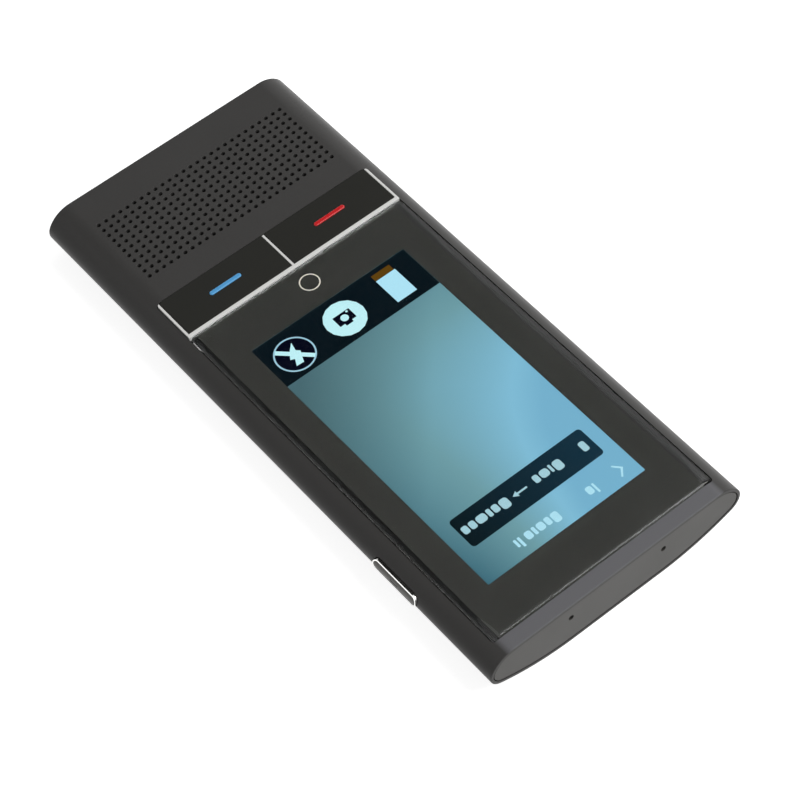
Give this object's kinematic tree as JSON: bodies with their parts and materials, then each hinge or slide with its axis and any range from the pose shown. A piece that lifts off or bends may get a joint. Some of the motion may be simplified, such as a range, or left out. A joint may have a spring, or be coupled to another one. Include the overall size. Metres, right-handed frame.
{
  "type": "handheld translator",
  "caption": "Slim handheld voice translator: lens-section metal tube, glass front with display, drilled speaker grille, two talk keys, side key, rear camera.",
  "frame": {"origin": "centre of the flat underside, midway between the two ends", "axes": "+X across the width towards the side key, +Y along the length towards the microphone end, +Z out of the display"},
  "size_m": [0.0532, 0.123, 0.0101],
  "materials": {
    "shell_metal": "fine blasted, dark anodised",
    "end_plate": "satin, warm dark grey",
    "clear_glass": "polished",
    "black_ink": "printed behind the glass",
    "ring_ink": "printed behind the glass",
    "black_foam": "closed-cell foam and adhesive",
    "lcd": "lit picture",
    "reflector": "white tray and light guide",
    "cast_frame": "die cast, raw",
    "bright_trim": "polished",
    "key_plastic": "satin black",
    "blue_plastic": "translucent blue",
    "red_plastic": "translucent red",
    "circuit_board": "solder-masked laminate",
    "sheet_steel": "tinned",
    "side_key_metal": "anodised face, diamond-cut edge",
    "black_plastic": "moulded",
    "black_fabric": "acoustic mesh",
    "flex_film": "polyimide film",
    "chip_resin": "moulded resin",
    "battery_foil": "laminated foil pouch",
    "red_wire": "insulated wires",
    "cream_plastic": "moulded",
    "dark_metal": "turned and anodised",
    "led_yellow": "phosphor",
    "milky_lens": "frosted",
    "mic_metal": "gold plated can"
  },
  "bodies": {
    "housing": {"body_shell": "shell_metal", "top_end_plate": "end_plate", "bottom_end_plate": "end_plate", "front_glass": "clear_glass", "bezel_mask": "black_ink", "touch_ring": "ring_ink", "glass_adhesive": "black_foam", "display_panel": "lcd", "backlight": "reflector", "midframe": "cast_frame", "key_trim": "bright_trim", "key_board": "circuit_board", "key_domes": "sheet_steel", "side_switch": "black_plastic", "speaker_mesh": "black_fabric", "speaker_gasket": "black_foam", "speaker": "black_plastic", "lower_carrier": "black_plastic", "carrier_screws": "sheet_steel", "usb_board": "circuit_board", "usb_port": "sheet_steel", "usb_tongue": "black_plastic", "board_link": "flex_film", "main_board": "circuit_board", "board_screws": "sheet_steel", "processor_can": "sheet_steel", "radio_can": "sheet_steel", "processor": "chip_resin", "radio_chip": "chip_resin", "battery": "battery_foil", "battery_pad": "black_foam", "battery_lead": "red_wire", "battery_connector": "cream_plastic", "rear_camera": "black_plastic", "camera_gasket": "black_foam", "camera_ring": "dark_metal", "camera_window": "clear_glass", "flash_led": "led_yellow", "flash_window": "milky_lens", "mic_left": "mic_metal", "mic_right": "mic_metal", "mic_gaskets": "black_foam", "mic_flex": "flex_film", "antenna_flex": "flex_film"},
    "blue_key_body": {"blue_key": "key_plastic", "blue_key_bar": "blue_plastic"},
    "red_key_body": {"red_key": "key_plastic", "red_key_bar": "red_plastic"},
    "side_key_body": {"side_key": "side_key_metal"}
  },
  "joints": [
    {"name": "blue_key_press", "type": "slide", "parent": "housing", "child": "blue_key_body", "axis": [0, 0, -1], "range_m": [0, 0.0003], "stiffness_N_per_m": 3000, "springref_m": -0.0002},
    {"name": "red_key_press", "type": "slide", "parent": "housing", "child": "red_key_body", "axis": [0, 0, -1], "range_m": [0, 0.0003], "stiffness_N_per_m": 3000, "springref_m": -0.0002},
    {"name": "side_key_press", "type": "slide", "parent": "housing", "child": "side_key_body", "axis": [-1, 0, 0], "range_m": [0, 0.00025], "stiffness_N_per_m": 4000, "springref_m": -0.00015}
  ]
}
